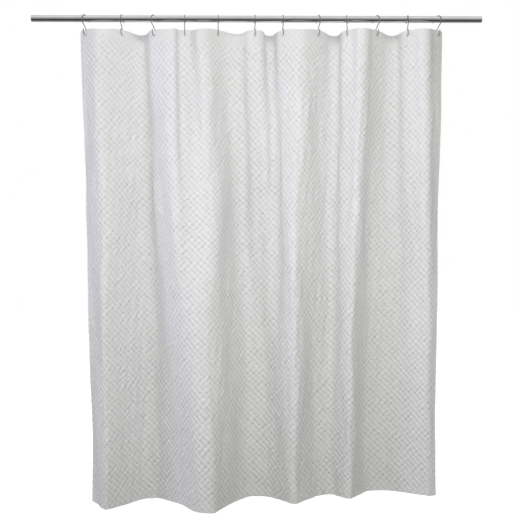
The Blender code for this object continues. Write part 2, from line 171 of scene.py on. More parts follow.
# Stitches: straight rows along the hems, and threads laid over the buttonholes' edges
HOLE_LENGTH = 0.015
HOLE_HEIGHT = 0.005
ROW_PITCH = 0.0042
ROW_FROM_EDGE = 0.006
ROW_FROM_HEM = 0.003
HEADER_ROWS = (0.0025, 0.0075)
ROW_LIFT = 0.0002
STITCH_LENGTH = 0.0034
STITCH_THICKNESS = 0.00085
STITCH_BODY = 0.28
STITCH_SINK = 0.4
STITCH_SIDES = 5
SATIN_REACH = 0.0022
SATIN_STITCHES = 76
SATIN_HALF_WIDTH = 0.00031
SATIN_HALF_DEPTH = 0.00022
SATIN_SIDES = 6
SMALL_STEP = 1e-4

WHITE = (0.86, 0.86, 0.855)
WEAVE_PITCH = 0.0011
WEAVE_DEPTH = 0.0004
# Share of the white left in the weave's hollows: painted shade.
HOLLOW_PAINTED_SHADE = 0.74
CHROME_BRIGHT = 0.83
# The hooks' chrome is darker than the rod's: painted shade, for the dark room the wire reflects.
SHADED_WIRE_BRIGHT = 0.50

# Camera and light
CAMERA_PLACE = (-0.095, -2.993, -0.937)
CAMERA_TURN = (90, 0.42, -1.8)
LENS = 53.3
SENSOR = 36
FLOOR_DROP = 0.09
FLOOR_HALF = 12
ROOM_LIGHT = (1.0, 0.985, 0.915)
ROOM_STRENGTH = 0.356
GLOSS_STOPS = (
    (-180, 0.60),
    (-136, 0.45),
    (-95, 0.15),
    (-60, 0.05),
    (-35, 0.07),
    (-12, 0.30),
    (16, 0.45),
    (52, 0.90),
    (100, 0.68),
    (180, 0.62),
)


# ---------------------------------------------------------------- camera, light and stage


def aim(obj, target):
    obj.rotation_euler = (Vector(target) - obj.location).to_track_quat("-Z", "Y").to_euler()


def make_camera():
    data = bpy.data.cameras.new("camera")
    data.lens = LENS
    data.sensor_width = SENSOR
    camera = bpy.data.objects.new("camera", data)
    bpy.context.scene.collection.objects.link(camera)
    camera.location = CAMERA_PLACE
    camera.rotation_euler = [math.radians(a) for a in CAMERA_TURN]
    bpy.context.scene.camera = camera


def area_light(name, location, target, size, power, colour):
    data = bpy.data.lights.new(name, "AREA")
    data.shape = "RECTANGLE"
    data.size, data.size_y = size
    data.energy = power
    data.color = colour
    light = bpy.data.objects.new(name, data)
    light.location = location
    light.visible_glossy = False
    light.visible_camera = False
    bpy.context.scene.collection.objects.link(light)
    aim(light, target)


def make_lights():
    """A cool light far to the left, a wide one close in front, one high above, and one behind."""
    area_light("key", (-4.2, -1.5, 0.1), (0, 0, -0.95), (1.5, 1.5), 51, (0.77, 0.79, 1.0))
    area_light("front", (0.1, -1.7, -0.7), (0.1, 0, -0.7), (3.0, 0.5), 20.2, (0.96, 0.97, 1.0))
    area_light("high", (0, -1.1, 1.3), (0, 0, -1.1), (1.2, 0.4), 13.6, (0.97, 0.97, 1.0))
    area_light("rear", (1.6, 2.8, 0.6), (0, 0, -0.8), (2.0, 2.0), 26, (1.0, 0.99, 0.97))


def make_world():
    """White behind the object, even warm light on it, and a room that only its gloss shows."""
    world = bpy.data.worlds.new("studio")
    bpy.context.scene.world = world
    world.use_nodes = True
    tree = world.node_tree
    even = tree.nodes["Background"]
    even.inputs["Color"].default_value = (*ROOM_LIGHT, 1)
    even.inputs["Strength"].default_value = ROOM_STRENGTH
    white = tree.nodes.new("ShaderNodeBackground")
    white.inputs["Color"].default_value = (1, 1, 1, 1)
    gloss = tree.nodes.new("ShaderNodeBackground")
    place = tree.nodes.new("ShaderNodeTexCoord")
    split = tree.nodes.new("ShaderNodeSeparateXYZ")
    forward = tree.nodes.new("ShaderNodeMath")
    forward.operation = "MULTIPLY"
    forward.inputs[1].default_value = -1
    angle = tree.nodes.new("ShaderNodeMath")
    angle.operation = "ARCTAN2"
    turn = tree.nodes.new("ShaderNodeMapRange")
    turn.inputs["From Min"].default_value = -math.pi
    turn.inputs["From Max"].default_value = math.pi
    ramp = tree.nodes.new("ShaderNodeValToRGB")
    elements = ramp.color_ramp.elements
    while len(elements) < len(GLOSS_STOPS):
        elements.new(0.5)
    for element, (degrees, grey) in zip(elements, GLOSS_STOPS, strict=True):
        element.position = degrees / 360 + 0.5
        element.color = (grey, grey, grey * 1.01, 1)
    tree.links.new(place.outputs["Generated"], split.inputs[0])
    tree.links.new(split.outputs["Y"], forward.inputs[0])
    tree.links.new(split.outputs["Z"], angle.inputs[0])
    tree.links.new(forward.outputs[0], angle.inputs[1])
    tree.links.new(angle.outputs[0], turn.inputs["Value"])
    tree.links.new(turn.outputs[0], ramp.inputs[0])
    tree.links.new(ramp.outputs[0], gloss.inputs["Color"])
    path = tree.nodes.new("ShaderNodeLightPath")
    glossy = tree.nodes.new("ShaderNodeMixShader")
    seen = tree.nodes.new("ShaderNodeMixShader")
    tree.links.new(path.outputs["Is Glossy Ray"], glossy.inputs[0])
    tree.links.new(even.outputs[0], glossy.inputs[1])
    tree.links.new(gloss.outputs[0], glossy.inputs[2])
    tree.links.new(path.outputs["Is Camera Ray"], seen.inputs[0])
    tree.links.new(glossy.outputs[0], seen.inputs[1])
    tree.links.new(white.outputs[0], seen.inputs[2])
    tree.links.new(seen.outputs[0], tree.nodes["World Output"].inputs[0])
    bpy.context.scene.view_settings.view_transform = "Standard"


def make_floor():
    mesh = bpy.data.meshes.new("floor")
    z = cad_box[0].z - FLOOR_DROP
    corners = [(x * FLOOR_HALF, y * FLOOR_HALF, z) for x, y in ((-1, -1), (1, -1), (1, 1), (-1, 1))]
    mesh.from_pydata(corners, [], [(0, 1, 2, 3)])
    floor = bpy.data.objects.new("floor", mesh)
    bpy.context.scene.collection.objects.link(floor)
    made = bpy.data.materials.new("floor")
    made.use_nodes = True
    shader = made.node_tree.nodes["Principled BSDF"]
    shader.inputs["Base Color"].default_value = (0.9, 0.9, 0.9, 1)
    shader.inputs["Roughness"].default_value = 0.8
    shader.inputs["Emission Color"].default_value = (1, 1, 1, 1)
    shader.inputs["Emission Strength"].default_value = 0.8
    mesh.materials.append(made)
    floor.visible_diffuse = False
    floor.visible_glossy = False


# ---------------------------------------------------------------- materials


class Nodes:
    """A material's node tree, with short ways to add and link nodes."""

    def __init__(self, name):
        self.material = bpy.data.materials.new(name)
        self.material.use_nodes = True
        self.tree = self.material.node_tree
        self.shader = self.tree.nodes["Principled BSDF"]

    def add(self, kind, **values):
        made = self.tree.nodes.new(kind)
        for key, value in values.items():
            if hasattr(made, key):
                setattr(made, key, value)
            else:
                made.inputs[key.replace("_", " ").title()].default_value = value
        return made

    def link(self, start, end):
        self.tree.links.new(start, end)

    def math(self, operation, first, second=None):
        made = self.add("ShaderNodeMath", operation=operation)
        for socket, value in zip(made.inputs, (first, second), strict=False):
            if value is None:
                continue
            if isinstance(value, (int, float)):
                socket.default_value = value
            else:
                self.link(value, socket)
        return made.outputs[0]

    def ramp(self, factor, stops):
        made = self.add("ShaderNodeValToRGB")
        elements = made.color_ramp.elements
        while len(elements) < len(stops):
            elements.new(0.5)
        for element, (position, colour) in zip(elements, stops, strict=True):
            element.position = position
            element.color = (*colour, 1)
        self.link(factor, made.inputs[0])
        return made.outputs[0]


def woven(name, colour):
    """White cotton: a fine waffle of threads, uneven yarn, a soft sheen, and hollows painted darker as
    shade.
    """
    n = Nodes(name)
    flat = n.add("ShaderNodeUVMap", uv_map="flat")
    split = n.add("ShaderNodeSeparateXYZ")
    n.link(flat.outputs[0], split.inputs[0])
    turns = 2 * math.pi / WEAVE_PITCH
    across = n.math("SINE", n.math("MULTIPLY", split.outputs[0], turns))
    down = n.math("SINE", n.math("MULTIPLY", split.outputs[1], turns))
    weave = n.math("MULTIPLY", across, down)
    cell = turns / 4
    warp = n.math("ABSOLUTE", n.math("SINE", n.math("MULTIPLY", split.outputs[0], cell)))
    weft = n.math("ABSOLUTE", n.math("SINE", n.math("MULTIPLY", split.outputs[1], cell)))
    waffle = n.math("MINIMUM", warp, weft)
    height = n.math("ADD", n.math("MULTIPLY", weave, 0.35), waffle)
    slub = n.add("ShaderNodeTexNoise", scale=140.0, detail=3.0)
    n.link(flat.outputs[0], slub.inputs["Vector"])
    height = n.math("ADD", height, n.math("MULTIPLY", slub.outputs[0], 0.8))
    bump = n.add("ShaderNodeBump")
    bump.inputs["Strength"].default_value = 0.70
    bump.inputs["Distance"].default_value = WEAVE_DEPTH
    n.link(height, bump.inputs["Height"])
    n.link(bump.outputs[0], n.shader.inputs["Normal"])
    relief = n.add("ShaderNodeAttribute", attribute_name="relief")
    patch = n.add("ShaderNodeTexNoise", scale=3.2, detail=2.0)
    n.link(flat.outputs[0], patch.inputs["Vector"])
    # The base colour darkens where the relief is low, as painted shade in the hollows, mixed with random
    # patches of tone.
    painted_shade_and_patches = n.math("ADD", n.math("MULTIPLY", relief.outputs["Fac"], 0.5), 0.5)
    painted_shade_and_patches = n.math("ADD", n.math("MULTIPLY", painted_shade_and_patches, 0.75), n.math("MULTIPLY", patch.outputs[0], 0.25))
    low = tuple(c * HOLLOW_PAINTED_SHADE for c in colour)
    n.link(n.ramp(painted_shade_and_patches, ((0.08, low), (0.62, colour))), n.shader.inputs["Base Color"])
    n.link(n.ramp(waffle, ((0.0, (0.96,) * 3), (1.0, (0.82,) * 3))), n.shader.inputs["Roughness"])
    n.shader.inputs["Sheen Weight"].default_value = 0.25
    n.shader.inputs["Sheen Roughness"].default_value = 0.5
    n.shader.inputs["Specular IOR Level"].default_value = 0.25
    return n.material


def polished(name, bright):
    """Chrome with faint drawing lines along X and a few dull patches."""
    n = Nodes(name)
    place = n.add("ShaderNodeTexCoord")
    stretch = n.add("ShaderNodeMapping")
    stretch.inputs["Scale"].default_value = (4, 260, 260)
    n.link(place.outputs["Object"], stretch.inputs[0])
    lines = n.add("ShaderNodeTexNoise", scale=1.0, detail=2.0)
    n.link(stretch.outputs[0], lines.inputs["Vector"])
    dull = n.add("ShaderNodeTexNoise", scale=18.0, detail=4.0)
    n.link(place.outputs["Object"], dull.inputs["Vector"])
    mixed = n.math("MULTIPLY", lines.outputs[0], dull.outputs[0])
    n.link(n.ramp(mixed, ((0.1, (0.07,) * 3), (0.6, (0.20,) * 3))), n.shader.inputs["Roughness"])
    tones = ((0.3, (0.90 * bright,) * 3), (0.7, (bright, bright, 1.01 * bright)))
    n.link(n.ramp(dull.outputs[0], tones), n.shader.inputs["Base Color"])
    n.shader.inputs["Metallic"].default_value = 1.0
    bump = n.add("ShaderNodeBump")
    bump.inputs["Strength"].default_value = 0.05
    bump.inputs["Distance"].default_value = 0.0003
    n.link(lines.outputs[0], bump.inputs["Height"])
    n.link(bump.outputs[0], n.shader.inputs["Normal"])
    return n.material


def sewing_thread(name):
    """Glossier twisted thread."""
    n = Nodes(name)
    place = n.add("ShaderNodeTexCoord")
    twist = n.add("ShaderNodeTexNoise", scale=900.0, detail=1.0)
    n.link(place.outputs["Object"], twist.inputs["Vector"])
    tones = ((0.3, (0.76, 0.76, 0.75)), (0.7, (0.88, 0.88, 0.87)))
    n.link(n.ramp(twist.outputs[0], tones), n.shader.inputs["Base Color"])
    n.shader.inputs["Roughness"].default_value = 0.55
    bump = n.add("ShaderNodeBump")
    bump.inputs["Strength"].default_value = 0.4
    bump.inputs["Distance"].default_value = 0.0002
    n.link(twist.outputs[0], bump.inputs["Height"])
    n.link(bump.outputs[0], n.shader.inputs["Normal"])
    return n.material


# ---------------------------------------------------------------- rod and hooks


def new_piece(name, vertices, faces, material, sharp=180):
    mesh = bpy.data.meshes.new(name)
    mesh.from_pydata([tuple(v) for v in vertices], [], faces)
    mesh.materials.append(material)
    mesh.shade_smooth()
    mesh.set_sharp_from_angle(angle=math.radians(sharp))
    obj = bpy.data.objects.new(name, mesh)
    bpy.context.scene.collection.objects.link(obj)
    return obj


def rings_joined(rings, sides, closed):
    """Faces between rings of points, numbered one after another."""
    faces = []
    for r in range(rings if closed else rings - 1):
        n = (r + 1) % rings
        for c in range(sides):
            d = (c + 1) % sides
            faces.append((r * sides + c, r * sides + d, n * sides + d, n * sides + c))
    return faces


def make_rod(finish):
    """The chrome tube: its wall's outline turned about the rod's axis, with the cut ends rounded over."""
    left = []
    for bend in map(math.radians, ROD_BENDS):
        inward = ROD_EDGE * (1 - math.sin(bend))
        left.append((inward - ROD_HALF, ROD_RADIUS - ROD_EDGE * (1 - math.cos(bend))))
    right = [(-x, r) for x, r in reversed(left)]
    inner = ROD_RADIUS - ROD_WALL
    outline = [*left, *right, (ROD_HALF, inner), (-ROD_HALF, inner)]
    vertices = []
    for x, r in outline:
        for c in range(ROD_SIDES):
            turn = 2 * math.pi * c / ROD_SIDES
            vertices.append((x, r * math.cos(turn), r * math.sin(turn)))
    rod = new_piece("chrome_rod", vertices, rings_joined(len(outline), ROD_SIDES, True), finish, sharp=40)
    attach(rod, "rod")
    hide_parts("rod_tube")


def arc(centre, radius, start, end):
    """Points (depth, height) on an arc. Angles are from straight up, positive to the back."""
    steps = math.ceil(abs(end - start) / math.radians(ARC_STEP))
    angles = [start + (end - start) * k / steps for k in range(steps + 1)]
    return [(centre[0] + radius * math.sin(a), centre[1] + radius * math.cos(a)) for a in angles]


def hook_route():
    """The wire's centre line from its free end, over the rod, to the J's tip, as (depth, height)."""
    arch_top = ROD_RADIUS + ROD_GAP + WIRE_RADIUS
    back = (0.0, arch_top - ARCH_BACK_RADIUS)
    front = (0.0, arch_top - ARCH_FRONT_RADIUS)
    hold = (J_OFFSET, J_RADIUS - HOOK_DROP)
    across, down = hold[0] - front[0], front[1] - hold[1]
    lean = math.atan2(across, down)
    spread = math.acos((ARCH_FRONT_RADIUS + J_RADIUS) / math.hypot(across, down))
    route = arc(back, ARCH_BACK_RADIUS, ARCH_BACK_ANGLE, 0)
    route += arc(front, ARCH_FRONT_RADIUS, 0, spread - lean - math.pi)[1:]
    route += arc(hold, J_RADIUS, spread - lean, 1.5 * math.pi)
    route.append((route[-1][0], route[-1][1] + J_TIP_RISE))
    return np.array(route)


def hook_surface():
    """(points, faces) of one hook: the wire, swelling into a ball at each end."""
    route = hook_route()
    steps = np.linalg.norm(np.diff(route, axis=0), axis=1)
    along = np.concatenate([[0], np.cumsum(steps)])
    length = along[-1]
    ball = [-BALL_RADIUS * math.cos(math.radians(a)) for a in BALL_ANGLES]
    wire = np.arange(ball[-1] + WIRE_STEP, length - ball[-1], WIRE_STEP)
    places = np.array([*ball, *wire, *(length - b for b in reversed(ball))])
    start = (route[1] - route[0]) / steps[0]
    end = (route[-1] - route[-2]) / steps[-1]
    reach = 2 * BALL_RADIUS
    known = np.concatenate([[-reach], along, [length + reach]])
    path = np.vstack([route[0] - start * reach, route, route[-1] + end * reach])
    middles = np.stack([np.interp(places, known, path[:, i]) for i in range(2)], 1)
    ahead = np.gradient(middles, axis=0)
    ahead /= np.linalg.norm(ahead, axis=1)[:, None]
    from_ball = np.minimum(np.abs(places), np.abs(places - length))
    swell = np.sqrt(np.maximum(BALL_RADIUS**2 - from_ball**2, 0))
    beyond = (places < 0) | (places > length)
    radii = np.where(beyond, swell, np.maximum(swell, WIRE_RADIUS))
    turns = 2 * math.pi * np.arange(WIRE_SIDES) / WIRE_SIDES
    points = []
    for (y, z), (dy, dz), r in zip(middles, ahead, radii, strict=True):
        for t in turns:
            points.append((r * math.sin(t), y - dz * r * math.cos(t), z + dy * r * math.cos(t)))
    rings = len(places)
    faces = rings_joined(rings, WIRE_SIDES, False)
    first, last = len(points), len(points) + 1
    points.append((0, *(route[0] - start * BALL_RADIUS)))
    points.append((0, *(route[-1] + end * BALL_RADIUS)))
    for c in range(WIRE_SIDES):
        d = (c + 1) % WIRE_SIDES
        faces.append((first, d, c))
        faces.append((last, (rings - 1) * WIRE_SIDES + c, (rings - 1) * WIRE_SIDES + d))
    return np.array(points), faces


def make_hooks(finish):
    points, faces = hook_surface()
    for k, label in enumerate(LABELS):
        turn = -math.radians(HOOK_TWISTS[k])
        c, s = math.cos(turn), math.sin(turn)
        x, y, z = points.T
        turned = np.stack([HOOK_X[k] + c * x - s * y, s * x + c * y, z], 1)
        hook = new_piece(f"wire_hook_{label}", turned, faces, finish)
        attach(hook, f"section_{label}")
        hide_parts(f"hook_{label}")


# ---------------------------------------------------------------- the cloth's plan outline


def side_of_span(k):
    return SPAN_SIDES[min(max(k, 0), len(SPAN_SIDES) - 1)]


def heading_at_hook(k):
    """The cloth's direction at a hook: it crosses over between two sides and lies flat in a pinch."""
    before = side_of_span(k - 1)
    after = side_of_span(k)
    if k == 0:
        return after * HOOK_HEADING
    if k == HOOKS - 1:
        return -before * HOOK_HEADING
    return 0.0 if before == after else after * HOOK_HEADING


def span_headings(k):
    """The directions along a span, bent so that it ends level with its start and its share along X."""
    share = SPAN_SHARES[k]
    side = SPAN_SIDES[k]
    flat = FLAT_AT_HOOK / FLAT_SPACING
    middle_share = SPAN_MIDDLES[k]
    leaving = (flat + middle_share) / 2
    coming = (1 - flat + middle_share) / 2
    knots = (0, flat, leaving, middle_share, coming, 1 - flat, 1)
    along = (np.arange(SAMPLES_PER_SPAN) + 0.5) / SAMPLES_PER_SPAN

    def headings(leave, come):
        start = heading_at_hook(k)
        end = heading_at_hook(k + 1)
        values = (start, start, side * leave, 0, -side * come, end, end)
        return np.interp(along, knots, values)

    def misses(bends):
        found = headings(*bends)
        return np.array([np.cos(found).mean() - share, np.sin(found).mean()])

    bends = np.array([0.8, 0.8])
    for _ in range(25):
        miss = misses(bends)
        slopes = [(misses(bends + SMALL_STEP * axis) - miss) / SMALL_STEP for axis in np.eye(2)]
        bends = bends - 0.7 * np.linalg.solve(np.array(slopes).T, miss)
    return headings(*bends)


@functools.cache
def header_outline():
    """(flat position, heading) along the header."""
    flat = [EDGE_TO_HOLE / 2]
    headings = [SPAN_SIDES[0] * HOOK_HEADING]
    along = (np.arange(SAMPLES_PER_SPAN) + 0.5) / SAMPLES_PER_SPAN
    for k in range(HOOKS - 1):
        flat.extend(HOOK_FLAT[k] + FLAT_SPACING * along)
        headings.extend(span_headings(k))
    flat.append(CLOTH_WIDTH - EDGE_TO_HOLE / 2)
    headings.append(-SPAN_SIDES[-1] * HOOK_HEADING)
    return np.array(flat), np.array(headings)


def header_folds():
    """The flat positions of the header's fold crests, one for each run of spans on one side."""
    crests = []
    start = 0
    for k in range(1, len(SPAN_SIDES) + 1):
        if k == len(SPAN_SIDES) or SPAN_SIDES[k] != SPAN_SIDES[start]:
            middles = [HOOK_FLAT[j] + SPAN_MIDDLES[j] * FLAT_SPACING for j in range(start, k)]
            crests.append(sum(middles) / len(middles))
            start = k
    return [0, *crests, CLOTH_WIDTH]


@functools.cache
def hem_outline():
    """(flat position, heading, flat positions of the fold crests) along the hem."""
    width = HEM_WIDTH_SHARE * CLOTH_WIDTH
    across = np.linspace(0, 1, HEM_SAMPLES + 1)
    places, depths = zip(*HEM_PROFILE, strict=True)
    drawn = np.interp(across, places, depths)
    reach = round(HEM_ROUNDING * HEM_SAMPLES)
    window = np.hanning(2 * reach + 3)[1:-1]
    shape = np.convolve(np.pad(drawn, reach, "edge"), window / window.sum(), "valid")
    low, high = 0.0, 8.0
    for _ in range(50):
        deep = (low + high) / 2
        steps = np.hypot(np.diff(across * width), np.diff(shape * deep))
        if steps.sum() < CLOTH_WIDTH:
            low = deep
        else:
            high = deep
    ends = np.concatenate([[0], np.cumsum(steps)]) * CLOTH_WIDTH / steps.sum()
    headings = np.arctan2(np.diff(shape * deep), np.diff(across * width))
    return (ends[1:] + ends[:-1]) / 2, headings, np.interp((0, *HEM_CRESTS, 1), across, ends)


@functools.cache
def blended(settled):
    """(edges, crests, headings) on the way from the header's outline at settled 0 to the hem's at 1.

    The flat positions of the fold crests run over from the header's to the hem's, and every point
    keeps its place between two crests.
    """
    header_flat, header_headings = header_outline()
    hem_flat, hem_headings, hem_crests = hem_outline()
    header_crests = header_folds()
    crests = [(1 - settled) * a + settled * b for a, b in zip(header_crests, hem_crests, strict=True)]
    edges = np.linspace(0, CLOTH_WIDTH, SECTION_SAMPLES + 1)
    middles = (edges[1:] + edges[:-1]) / 2
    fold = np.interp(middles, crests, range(len(crests)))
    on_header = np.interp(fold, range(len(crests)), header_crests)
    on_hem = np.interp(fold, range(len(crests)), hem_crests)
    headings = (1 - settled) * np.interp(on_header, header_flat, header_headings)
    headings += settled * np.interp(on_hem, hem_flat, hem_headings)
    return edges, np.array(crests), headings


def walk(headings):
    """X and Y along the cloth from its left edge."""
    length = CLOTH_WIDTH / SECTION_SAMPLES
    x = np.concatenate([[0], np.cumsum(np.cos(headings) * length)])
    y = np.concatenate([[0], np.cumsum(np.sin(headings) * length)])
    return x, y


@functools.cache
def crest_places(settled):
    """X of the fold crests from the left edge, at the header or at the hem."""
    edges, crests, headings = blended(settled)
    return np.interp(crests, edges, walk(headings)[0])


@functools.cache
def outline(settled):
    """The cloth's plan outline, from the header's at settled 0 to the hem's at 1.

    Returns the flat positions, x, y and headings. Its length is always the cloth's width. Each fold
    is bent until its crests lie on straight lines from the header's crests to the hem's. At the
    header the hooks' places lie on their wires, and at the hem the cloth hangs balanced about Y = 0.
    """
    edges, crests, headings = blended(settled)
    wanted = np.diff((1 - settled) * crest_places(0.0) + settled * crest_places(1.0))
    low, high = np.full(len(wanted), 0.2), np.full(len(wanted), 3.0)
    middles = (edges[1:] + edges[:-1]) / 2
    fold = np.clip(np.searchsorted(crests, middles) - 1, 0, len(wanted) - 1)
    for _ in range(40):
        bend = (low + high) / 2
        x, _ = walk(headings * bend[fold])
        wide = np.diff(np.interp(crests, edges, x)) > wanted
        low, high = np.where(wide, bend, low), np.where(wide, high, bend)
    headings = headings * bend[fold]
    x, y = walk(headings)
    left = HOOK_X[0] - EDGE_TO_HOLE * math.cos(HOOK_HEADING) + settled * HEM_SHIFT
    y = y - edges / CLOTH_WIDTH * y[-1]
    level = J_OFFSET - HEADER_MIDDLE - np.interp(HOOK_FLAT, edges, y).mean()
    y = y + (1 - settled) * level - settled * y.mean()
    return edges, x + left, y, np.interp(edges, middles, headings)


def settled_at(drop):
    """How far the folds have run from the header's shape to the hem's, at a drop below the top."""
    run = (drop - HEADER_HEIGHT) / (FOLD_SETTLE_SHARE * CLOTH_HEIGHT)
    return round(1 - (1 - min(max(run, 0), 1)) ** FOLD_SETTLE_POWER, 4)


# ---------------------------------------------------------------- cloth geometry


def sag(flat, settled):
    """How far the cloth hangs below its straight line between two hooks, most at the top edge."""
    across = np.clip((flat - EDGE_TO_HOLE) / FLAT_SPACING, 0, HOOKS - 1) % 1
    part = np.clip((across - SAG_START) / (1 - 2 * SAG_START), 0, 1)
    return TOP_SAG * (1 - settled) * (1 - np.cos(2 * math.pi * part)) / 2


def smooth_noise(flat, drop, wave_across, wave_down, seed, waves=14):
    """A smooth random surface from -1 to 1, a sum of sine waves near the given wavelengths."""
    pick = np.random.default_rng(seed)
    total = np.zeros(np.broadcast(flat, drop).shape)
    for _ in range(waves):
        a = 2 * math.pi / wave_across * pick.uniform(0.45, 1.6) * pick.choice((-1, 1))
        b = 2 * math.pi / wave_down * pick.uniform(0.3, 1.5)
        total += np.sin(a * flat + b * drop + pick.uniform(0, 2 * math.pi))
    return total / math.sqrt(waves)


def relief_share(flat, drop):
    """How much of the puffed weave shows: more towards the foot, and less in the pressed hems."""
    share = np.ones(np.broadcast(flat, drop).shape)
    edge = np.minimum(flat, CLOTH_WIDTH - flat)
    share *= 0.30 + 0.70 * np.clip((drop - HEADER_HEIGHT + PRESSED_EARLY) / PRESSED_EDGE, 0, 1)
    share *= 0.86 + 0.30 * drop / CLOTH_HEIGHT
    above_hem = CLOTH_HEIGHT - BOTTOM_HEM + PRESSED_EARLY - drop
    share *= 0.80 + 0.20 * np.clip(above_hem / PRESSED_EDGE, 0, 1)
    share *= 0.45 + 0.55 * np.clip((edge - SIDE_HEM + PRESSED_EARLY) / PRESSED_EDGE, 0, 1)
    return share


def relief(flat, drop):
    """The weave's puffs, -1 to 1: squares raised in a chequered lattice, each a little different."""
    astray = 0.0022 * smooth_noise(flat, drop, 0.11, 0.07, seed=6)
    across = np.cos(2 * math.pi * (flat + astray) / CELL)
    down = np.cos(2 * math.pi * (drop + astray) / CELL)
    lattice = across * down
    puffs = np.sign(lattice) * np.abs(lattice) ** 0.8
    uneven = 0.72 + 0.26 * smooth_noise(flat, drop, 0.04, 0.04, seed=5)
    crumple = 0.46 * smooth_noise(flat, drop, 0.017, 0.012, seed=7, waves=24)
    return (puffs * uneven + crumple) * relief_share(flat, drop)


def wrinkles(flat, drop):
    """Broad unevenness of hanging cloth, in metres. None in the header, at the hooks."""
    broad = 0.0032 * smooth_noise(flat, drop, 0.16, 0.9, seed=2)
    fine = 0.0010 * smooth_noise(flat, drop, 0.045, 0.28, seed=3)
    return (broad + fine) * np.clip((drop - HEADER_HEIGHT) / 0.25, 0, 1)


def cloth_points(flat, drop, offset):
    """Points for arrays of flat positions, drops and offsets of one shape (rows, columns)."""
    points = np.empty((*flat.shape, 3))
    shift = offset + wrinkles(flat, drop)
    for r in range(flat.shape[0]):
        settled = settled_at(float(np.median(drop[r])))
        edges, x, y, headings = outline(settled)
        turn = np.interp(flat[r], edges, headings)
        points[r, :, 0] = np.interp(flat[r], edges, x) - shift[r] * np.sin(turn)
        points[r, :, 1] = np.interp(flat[r], edges, y) + shift[r] * np.cos(turn)
        points[r, :, 2] = TOP_Z - drop[r] - sag(flat[r], settled)
    return points


def snapped(values, targets):
    """An even row of positions, pulled so that the nearest one lies on each target."""
    values = np.array(values)
    nearest = [int(np.abs(values - t).argmin()) for t in targets]
    known = [0, *nearest, len(values) - 1]
    pulls = [0, *(t - values[i] for t, i in zip(targets, nearest, strict=True)), 0]
    return values + np.interp(range(len(values)), known, pulls)


def slot_point(angle):
    """A point on the buttonhole's outline, in the direction of an angle from its centre."""
    radius = HOLE_HEIGHT / 2
    straight = HOLE_LENGTH / 2 - radius
    c, s = math.cos(angle), math.sin(angle)
    if abs(s) * straight > abs(c) * radius and abs(s) > 0:
        return radius * c / abs(s), math.copysign(radius, s)
    inside = straight * abs(c)
    reach = inside + math.sqrt(max(inside**2 - straight**2 + radius**2, 0))
    return reach * c, reach * s


def slab(name, columns, drops, near, far, material, holes=False):
    """A closed layer of cloth between two offsets, with a buttonhole at each hook if asked."""
    flat, drop = np.meshgrid(columns, drops)
    gone = np.zeros((len(drops) - 1, len(columns) - 1), bool)
    dead = np.zeros(flat.shape, bool)
    if holes:
        half_across = max(2, round(HOLE_LENGTH / 2 / (CELL / SAMPLES_PER_CELL)))
        row = int(np.abs(np.array(drops) - HOLE_DROP).argmin())
        for hook in HOOK_FLAT:
            column = int(np.abs(np.array(columns) - hook).argmin())
            for r in range(row - 1, row + 2):
                for c in range(column - half_across, column + half_across + 1):
                    if r == row and abs(c - column) < half_across:
                        dead[r, c] = True
                        continue
                    across = (c - column) / half_across * HOLE_LENGTH / 2
                    a, b = slot_point(math.atan2((r - row) * HOLE_HEIGHT / 2, across))
                    flat[r, c] = hook + a
                    drop[r, c] = HOLE_DROP + b
            gone[row - 1 : row + 1, column - half_across : column + half_across] = True
    height = relief(flat, drop)
    raised = PUFF_HEIGHT * height
    fronts = cloth_points(flat, drop, near - raised)
    backs = cloth_points(flat, drop, far - raised)
    down, across = flat.shape
    number = np.arange(down * across).reshape(down, across)
    keep = ~gone
    a, b = number[:-1, :-1][keep], number[1:, :-1][keep]
    c, d = number[1:, 1:][keep], number[:-1, 1:][keep]
    count = down * across
    front_faces = np.stack([a, b, c, d], 1)
    back_faces = np.stack([a, d, c, b], 1) + count
    # Every edge that only one kept face uses is a rim, joined to its twin on the back.
    starts = np.concatenate([a, b, c, d])
    ends = np.concatenate([b, c, d, a])
    code = starts.astype(np.int64) * count + ends
    twin = ends.astype(np.int64) * count + starts
    rim = ~np.isin(code, twin)
    rims = np.stack([ends[rim], starts[rim], starts[rim] + count, ends[rim] + count], 1)
    faces = np.concatenate([front_faces, back_faces, rims])
    vertices = np.concatenate([fronts.reshape(-1, 3), backs.reshape(-1, 3)])
    used = np.zeros(len(vertices), bool)
    used[faces.ravel()] = True
    renumber = np.cumsum(used) - 1
    mesh = bpy.data.meshes.new(name)
    mesh.from_pydata(vertices[used].tolist(), [], renumber[faces].tolist())
    obj = bpy.data.objects.new(name, mesh)
    bpy.context.scene.collection.objects.link(obj)
    flats = np.concatenate([np.stack([flat, CLOTH_HEIGHT - drop], -1).reshape(-1, 2)] * 2)[used]
    corners = np.empty(len(mesh.loops), np.int32)
    mesh.loops.foreach_get("vertex_index", corners)
    layer = mesh.uv_layers.new(name="flat")
    layer.data.foreach_set("uv", flats[corners].astype(np.float32).ravel())
    # The relief goes to the material, which paints shade into the cloth's hollows with it.
    shown = np.concatenate([height.ravel(), -height.ravel()])[used]
    mesh.attributes.new("relief", "FLOAT", "POINT").data.foreach_set("value", shown.astype(np.float32))
    mesh.materials.append(material)
    mesh.shade_smooth()
    mesh.set_sharp_from_angle(angle=math.radians(SHARP_ANGLE))
    return obj


def one_stitch(middle, along, out, wide):
    """The points of a short thread, pointed and sunk at both ends."""
    tip = along * STITCH_LENGTH / 2
    sunk = out * STITCH_THICKNESS * STITCH_SINK
    points = [middle - tip - sunk]
    for end in (-STITCH_BODY, STITCH_BODY):
        for j in range(STITCH_SIDES):
            turn = 2 * math.pi * j / STITCH_SIDES
            round_it = (wide * math.cos(turn) + out * math.sin(turn)) * STITCH_THICKNESS / 2
            points.append(middle + along * STITCH_LENGTH * end + round_it)
    points.append(middle + tip - sunk)
    return points


